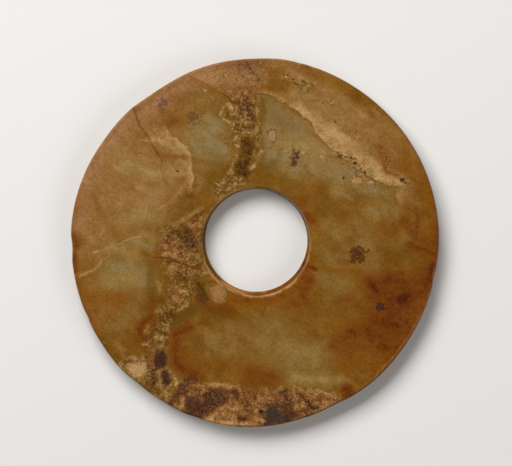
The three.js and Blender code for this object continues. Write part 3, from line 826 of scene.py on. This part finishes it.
# The faces dip by less than a tenth of a millimetre, and crust and pits lie lower still.
front = height > thickness - touching
back = height < touching
swell = np.array([noise.noise((x / 22, y / 22, 3.0)) for x, y in zip(across, along)])
rough = np.array([noise.noise((x / 1.7, y / 1.7, 7.0)) for x, y in zip(across, along)])
sink = 0.05 + 0.05 * swell + crust * (0.06 + 0.1 * rough)
skin_step = 0.16
skin_slope = 14
for edge, lowered in ((skin_edge, -1), (tongue_edge, 1)):
    nearest, side, inside = trace(edge)
    sink = sink + skin_step * np.where(side == lowered, np.clip(1 - nearest / skin_slope, 0, 1), 0)
for x, y, radius, deep in (
    (80.3, 34, 1.6, 0.5), (54.8, 43, 1.8, 0.35), (59.6, 38.2, 1.4, 0.35), (46, 47.8, 1.5, 0.25),
    (3.2, -91.7, 2.0, 0.4), (-50, -42.5, 1.8, 0.3), (-53, -47.4, 1.5, 0.25), (63, 34, 1.5, 0.2),
    (67, 33.5, 1.4, 0.2), (50, 45, 1.3, 0.2),
):
    sink = sink + deep * np.exp(-((across - x) ** 2 + (along - y) ** 2) / (radius / 1.6) ** 2)
sink = np.clip(sink, 0, 0.6) * mm
place[:, 2] -= np.where(front, sink, 0)
place[:, 2] += np.where(back, np.clip(0.04 + 0.04 * swell, 0, 1) * mm, 0)
disc.data.vertices.foreach_set("co", place.ravel())
disc.data.update()
bpy.ops.object.shade_smooth_by_angle(angle=math.radians(35))

# Nephrite: a tough, faintly clear stone. Stain has soaked into it by way of its cracks, and the
# polish is a soft one, duller over the crust.
nephrite = bpy.data.materials.new("stained_nephrite")
nephrite.use_nodes = True
nephrite.node_tree.nodes.clear()


class Wire:
    """An output socket. Arithmetic on it adds the Math nodes that work the sum out."""

    tree = nephrite.node_tree

    def __init__(self, socket):
        self.socket = socket

    @classmethod
    def node(cls, kind, settings=(), inputs=(), out=0):
        made = cls.tree.nodes.new(kind)
        for name, value in dict(settings).items():
            setattr(made, name, value)
        for name, value in dict(inputs).items():
            if isinstance(value, Wire):
                cls.tree.links.new(value.socket, made.inputs[name])
            else:
                made.inputs[name].default_value = value
        return cls(made.outputs[out]) if made.outputs else None

    def sum(self, operation, other, first=True):
        pair = (self, other) if first else (other, self)
        return Wire.node("ShaderNodeMath", {"operation": operation}, {0: pair[0], 1: pair[1]})

    def __add__(self, other):
        return self.sum("ADD", other)

    __radd__ = __add__

    def __sub__(self, other):
        return self.sum("SUBTRACT", other)

    def __rsub__(self, other):
        return self.sum("SUBTRACT", other, False)

    def __mul__(self, other):
        return self.sum("MULTIPLY", other)

    def __abs__(self):
        return Wire.node("ShaderNodeMath", {"operation": "ABSOLUTE"}, {0: self})


def step_up(value, start, end):
    """From 0 at start to 1 at end, and smooth between them."""
    return Wire.node("ShaderNodeMapRange", {"interpolation_type": "SMOOTHSTEP"},
                     {"Value": value, "From Min": start, "From Max": end})


def speckle(vector, scale, detail=4.0, roughness=0.55, distortion=0.0):
    return Wire.node("ShaderNodeTexNoise", {}, {"Vector": vector, "Scale": scale, "Detail": detail,
                                                "Roughness": roughness, "Distortion": distortion})


def blend(share, under, over):
    return Wire.node("ShaderNodeMix", {"data_type": "RGBA"}, {0: share, 6: under, 7: over}, 2)


def colour(red, green, blue):
    """A colour as the eye reads it, from 0 to 255, for a socket that takes light."""
    linear = [((c / 255 + 0.055) / 1.055) ** 2.4 for c in (red, green, blue)]
    return (*linear, 1)


position = Wire.node("ShaderNodeTexCoord", out=3)
stone = Wire.node("ShaderNodeVectorMath", {"operation": "SCALE"}, {0: position, "Scale": 1000})
bedding = Wire.node("ShaderNodeMapping", {"vector_type": "TEXTURE"},
                    {"Vector": stone, "Rotation": (0, 0, math.radians(-32)), "Scale": (1.35, 1, 1)})
cloud = speckle(stone, 0.055, 3, 0.5)
mottle = speckle(bedding, 0.17, 8, 0.62, 0.1)
grit = speckle(stone, 0.5, 6, 0.7, 0.3)
grain = speckle(stone, 1.2, 3, 0.7)
crumbs = speckle(stone, 0.36, 6, 0.58, 0.6)
rust = step_up(speckle(stone, 0.28, 5, 0.6, 0.8), 0.5, 0.7)
curl = 1 - step_up(abs(speckle(stone, 0.34, 4, 0.6, 1.2) - 0.5), 0.0, 0.035)
seam = 1 - step_up(abs(speckle(stone, 0.26, 4, 0.6, 1.6) - 0.5), 0.0, 0.03)


def cover(name):
    return Wire.node("ShaderNodeAttribute", {"attribute_name": name}, out=2)


def stain(tint, name, thin, full, opacity=1.0, deep=1.5, patchy=1.0):
    """Soaks a stain into the colour so far: its thin tone where it fades out, its full tone within."""
    depth = cover(name) * ((mottle - 0.5) * (1.9 * patchy) + (grit - 0.5) * (1.2 * patchy) + 1.0)
    soaked = blend(step_up(depth, 0.5, deep), colour(*thin), colour(*full))
    return blend(step_up(depth, 0.0, 0.85) * opacity, tint, soaked)


# dark cracks, and the painted shadow line under the weathered skin's raised edge
cracks_and_edge_shadow = cover("crack_and_shadow_near") * (1 - step_up(abs(cover("crack_and_shadow_side") + (grit - 0.5) * 1.4), 0.0, 1.0))

tint = blend(step_up(cloud, 0.35, 0.65), colour(104, 65, 8), colour(118, 78, 20))
tint = blend(step_up(mottle, 0.4, 0.66) * 0.8, tint, colour(131, 91, 32))
tint = stain(tint, "unstained", (124, 95, 44), (133, 112, 73), 1.0, 1.1)
tint = stain(tint, "olive", (100, 69, 14), (82, 58, 12), 0.85)
tint = stain(tint, "weathered", (141, 102, 55), (171, 137, 85), 1.0, 1.15)
tint = stain(tint, "thin_skin", (138, 107, 55), (151, 126, 81), 0.9, 1.2)
# pink weathering, with a painted sheen along the upper left of the rim
tint = stain(tint, "blush_and_sheen", (147, 104, 66), (163, 122, 92), 0.85, 1.2)
tint = stain(tint, "amber", (122, 70, 8), (92, 42, 0), 0.88, 1.5, 1.4)
tint = stain(tint, "russet", (106, 52, 7), (66, 20, 2), 0.94, 1.35, 0.9)

# Crust is granular: cream crumbs on brown, paler along its lips and darkest in its umber patches
cream_and_highlights, umber = cover("cream_and_highlights"), cover("umber")
lumps = Wire.node("ShaderNodeMath", {"operation": "MAXIMUM"}, {0: cream_and_highlights, 1: umber})
crusted = Wire.node("ShaderNodeMath", {"operation": "MAXIMUM"}, {0: cover("crust"), 1: lumps})
crusted = step_up(crusted + (crumbs - 0.5) * 1.3 + (grit - 0.5) * 0.6, 0.2, 0.85)
pinkness = step_up(cover("peach") + (mottle - 0.5) * 1.6, 0.2, 0.8)
calm = 1 - pinkness * 0.25 - umber * 0.15
tone = ((crumbs - 0.5) * 1.7 + (grain - 0.5) * 0.8) * calm + curl * 0.1 - seam * 0.12
tone = tone + cream_and_highlights * 0.35 - umber * 0.45 + 0.46


def crumb(darkest, *paler):
    """The colour of a crumb of crust by its tone, from the darkest to the palest."""
    shade = colour(*darkest)
    for (start, end), next_shade in zip(((0.0, 0.25), (0.25, 0.5), (0.5, 0.7), (0.7, 1.0)), paler):
        shade = blend(step_up(tone, start, end), shade, colour(*next_shade))
    return shade


yellow = crumb((54, 30, 4), (86, 56, 10), (112, 77, 28), (136, 104, 56), (172, 140, 94))
pink = crumb((46, 27, 20), (80, 48, 30), (118, 75, 34), (148, 107, 62), (186, 140, 94))
rusty = blend(step_up(tone, 0.2, 0.8), colour(84, 44, 8), colour(158, 98, 44))
crumb_tint = blend(rust * 0.4, blend(pinkness, yellow, pink), rusty)
tint = blend(crusted * 0.94, tint, blend(cover("russet") * 0.6, crumb_tint, colour(96, 46, 10)))
gritty, fine = cover("gritty"), speckle(stone, 0.85, 2, 0.6)
tint = blend(gritty * (1 - step_up(fine, 0.36, 0.48)) * 0.8, tint, colour(66, 36, 8))
tint = blend(gritty * step_up(fine, 0.55, 0.68) * 0.7, tint, colour(180, 142, 90))
# darkens the cracks, and paints the shadow line under the weathered skin's raised edge
tint = blend(cracks_and_edge_shadow * 0.8, tint, colour(94, 48, 0))
# painted highlight along the lip of the hole and along the lower right of the rim
tint = blend(cover("lip_highlight") * 0.8, tint, colour(190, 140, 84))

# Spots of other mineral that lie whole in the face: middle, radii, how ragged, colour, and the
# share of the radius at which a paler ring runs round. That share is 0 where there is no such ring,
# and hollow where the spot is itself only a ring round a paler middle.
hollow = -1
spot_depth = 4
for x, y, wide, tall, ragged, spot_tint, halo in (
    (20.6, 47.4, 2.7, 2.6, 5.0, (76, 40, 22), 0),
    (21.6, 43.2, 1.7, 2.0, 3.5, (84, 48, 26), 0),
    (20.4, 47.4, 1.6, 1.4, 3.0, (116, 80, 60), 0),
    (26.0, 49.0, 0.9, 0.8, 3.0, (162, 138, 96), 0),
    (36.5, 46.8, 1.2, 0.8, 3.0, (164, 126, 70), 0),
    (55.6, -6.2, 4.7, 5.0, 2.4, (72, 28, 8), 0.55),
    (9.1, 58.0, 2.6, 3.4, 1.8, (106, 66, 32), hollow),
    (-50.3, 75.5, 2.6, 2.8, 5.5, (104, 70, 48), 0.35),
    (-33.0, 68.0, 3.2, 3.2, 5.5, (104, 66, 40), 0.35),
    (10.0, -93.5, 5.2, 4.8, 4.5, (58, 46, 36), 0),
    (54.2, 45.5, 1.5, 0.9, 3.0, (124, 82, 34), 0),
    (52.2, 46.2, 0.8, 0.6, 3.0, (74, 46, 16), 0),
    (54.4, 43.4, 1.1, 0.7, 3.0, (60, 34, 10), 0),
    (57.2, 40.6, 0.8, 0.6, 3.0, (74, 46, 16), 0),
    (59.6, 38.2, 0.7, 0.8, 3.0, (60, 34, 10), 0),
    (46.2, 47.2, 1.0, 0.5, 3.0, (78, 48, 18), 0),
    (80.2, 34.0, 1.2, 0.9, 3.0, (54, 30, 8), 0),
    (81.8, 32.6, 0.8, 0.6, 2.0, (52, 28, 6), 0),
    (48.0, 35.2, 0.6, 0.9, 0.8, (66, 42, 12), 0),
    (3.2, -91.6, 1.1, 1.0, 0.8, (38, 20, 6), 0),
    (62.8, 32.8, 1.1, 0.7, 3.0, (164, 142, 108), 0),
    (50.4, 48.8, 1.8, 1.2, 3.0, (154, 108, 50), 0),
    (66.4, 35.0, 1.6, 0.8, 4.0, (178, 140, 88), 0),
    (56.2, 34.0, 1.8, 1.6, 5.0, (160, 118, 62), 0),
    (-64.0, -68.6, 4.6, 3.4, 5.0, (168, 132, 86), 0),
    (-20.0, -27.3, 4.3, 4.6, 2.0, (146, 107, 62), 0.75),
    (68.2, -34.6, 2.9, 2.5, 2.0, (48, 36, 30), 0.3),
    (-42.0, 38.8, 0.7, 0.7, 0.6, (52, 34, 6), 0),
    (43.5, 65.6, 0.6, 0.6, 0.6, (70, 40, 10), 0),
):
    offset = Wire.node("ShaderNodeVectorMath", {"operation": "SUBTRACT"},
                       {0: stone, 1: (x, y, thickness / mm)})
    offset = Wire.node("ShaderNodeVectorMath", {"operation": "DIVIDE"},
                       {0: offset, 1: (wide, tall, spot_depth)})
    far = Wire.node("ShaderNodeVectorMath", {"operation": "LENGTH"}, {0: offset}, 1)
    far = far + (crumbs - 0.5) * ragged + (grain - 0.5) * (ragged * 0.4)
    if halo == hollow:
        tint = blend((1 - step_up(far, 0.9, 1.6)) * 0.55, tint, colour(158, 120, 80))
        shown = (1 - step_up(abs(far - 1), 0.02, 0.28)) * step_up(mottle, 0.3, 0.5)
    else:
        shown = 1 - step_up(far, 0.75, 1.1)
    if halo > 0:
        shown = shown * (step_up(abs(far - halo), 0.02, 0.16) * 0.45 + 0.55)
    tint = blend(shown * (grain * 0.4 + 0.72), tint, colour(*spot_tint))

cells = {"Vector": stone, "Scale": 0.42}
lone = step_up(Wire.node("ShaderNodeTexVoronoi", {}, cells, 1), 0.72, 0.78)
speck = lone * (1 - step_up(Wire.node("ShaderNodeTexVoronoi", {}, cells, 0), 0.06, 0.24))
grey = (step_up(grain, 0.3, 0.7) * 0.42 + 0.79) * (1 - speck * 0.3)
grey = Wire.node("ShaderNodeCombineColor", {}, {0: grey, 1: grey, 2: grey})
tint = Wire.node("ShaderNodeMix", {"data_type": "RGBA", "blend_type": "MULTIPLY"},
                 {0: 1.0, 6: tint, 7: grey}, 2)
dull = 0.2 + crusted * 0.14 + grain * 0.08 + cracks_and_edge_shadow * 0.1
relief = grain * 0.25 + grit * (0.25 + crusted * 1.6) - cracks_and_edge_shadow * 1.5 + cloud * 0.4
bump = Wire.node("ShaderNodeBump", {}, {"Strength": 0.35, "Distance": 0.0002, "Height": relief})
surface = Wire.node("ShaderNodeBsdfPrincipled", {"subsurface_method": "RANDOM_WALK"}, {
    "Base Color": tint, "Roughness": dull, "Normal": bump, "IOR": 1.6, "Specular IOR Level": 0.05,
    "Subsurface Weight": 0.12, "Subsurface Radius": (1.0, 0.45, 0.15), "Subsurface Scale": 0.0015,
})
Wire.node("ShaderNodeOutputMaterial", {}, {"Surface": surface})
disc.data.materials.append(nephrite)

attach(disc, "root")
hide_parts("jade_disc")

# The table that the disc lies on: a plain pale sheet, wide enough to fill the view from any side.
bpy.ops.object.select_all(action="DESELECT")
table_width = 12
bpy.ops.mesh.primitive_plane_add(size=table_width, location=(0, 0, low.z))
table = bpy.context.object
table.name = table.data.name = "pale_table"
paper = bpy.data.materials.new("pale_paper")
paper.use_nodes = True
paper_surface = paper.node_tree.nodes["Principled BSDF"]
paper_surface.inputs["Base Color"].default_value = (0.72, 0.71, 0.69, 1)
paper_surface.inputs["Roughness"].default_value = 0.8
table.data.materials.append(paper)

# Light: a wide soft lamp above the top left of the face, a weaker one above its lower right, and the
# room, whose pale wall shows behind the table and in the polish but adds no light of its own.
for name, spot, width, tall, watts in (
    ("window_lamp", (-0.8, 1.2, 1.6), 1.7, 1.1, 59),
    ("fill_lamp", (1.5, -1.0, 1.5), 2.0, 1.4, 17),
):
    bpy.ops.object.light_add(type="AREA", location=spot)
    lamp = bpy.context.object
    lamp.name = lamp.data.name = name
    lamp.data.shape = "RECTANGLE"
    lamp.data.size, lamp.data.size_y = width, tall
    lamp.data.energy = watts
    lamp.rotation_euler = (-lamp.location).to_track_quat("-Z", "Y").to_euler()
room = bpy.data.worlds.new("room")
room.use_nodes = True
room.node_tree.nodes.clear()
Wire.tree = room.node_tree
air = Wire.node("ShaderNodeBackground", {}, {"Color": (1, 0.98, 0.95, 1), "Strength": 0.1})
wall = Wire.node("ShaderNodeBackground", {}, {"Color": (0.8, 0.79, 0.77, 1)})
seen = (Wire.node("ShaderNodeLightPath", out="Is Camera Ray")
        + Wire.node("ShaderNodeLightPath", out="Is Glossy Ray")
        + Wire.node("ShaderNodeLightPath", out="Is Transmission Ray"))
around = Wire.node("ShaderNodeMixShader", {}, {0: seen, 1: air, 2: wall})
Wire.node("ShaderNodeOutputWorld", {}, {"Surface": around})
bpy.context.scene.world = room
bpy.context.scene.view_settings.view_transform = "Standard"

# The camera looks straight down at the face from far off, as the photograph was taken.
camera_height = 1.5
view_x, view_y, view_width = 0.54 * mm, 5.3 * mm, 277.8 * mm
film_width = 36
bpy.ops.object.camera_add(location=(view_x, view_y, high.z + camera_height), rotation=(0, 0, 0))
camera = bpy.context.object
camera.data.sensor_width = film_width
camera.data.lens = film_width * camera_height / view_width
bpy.context.scene.camera = camera
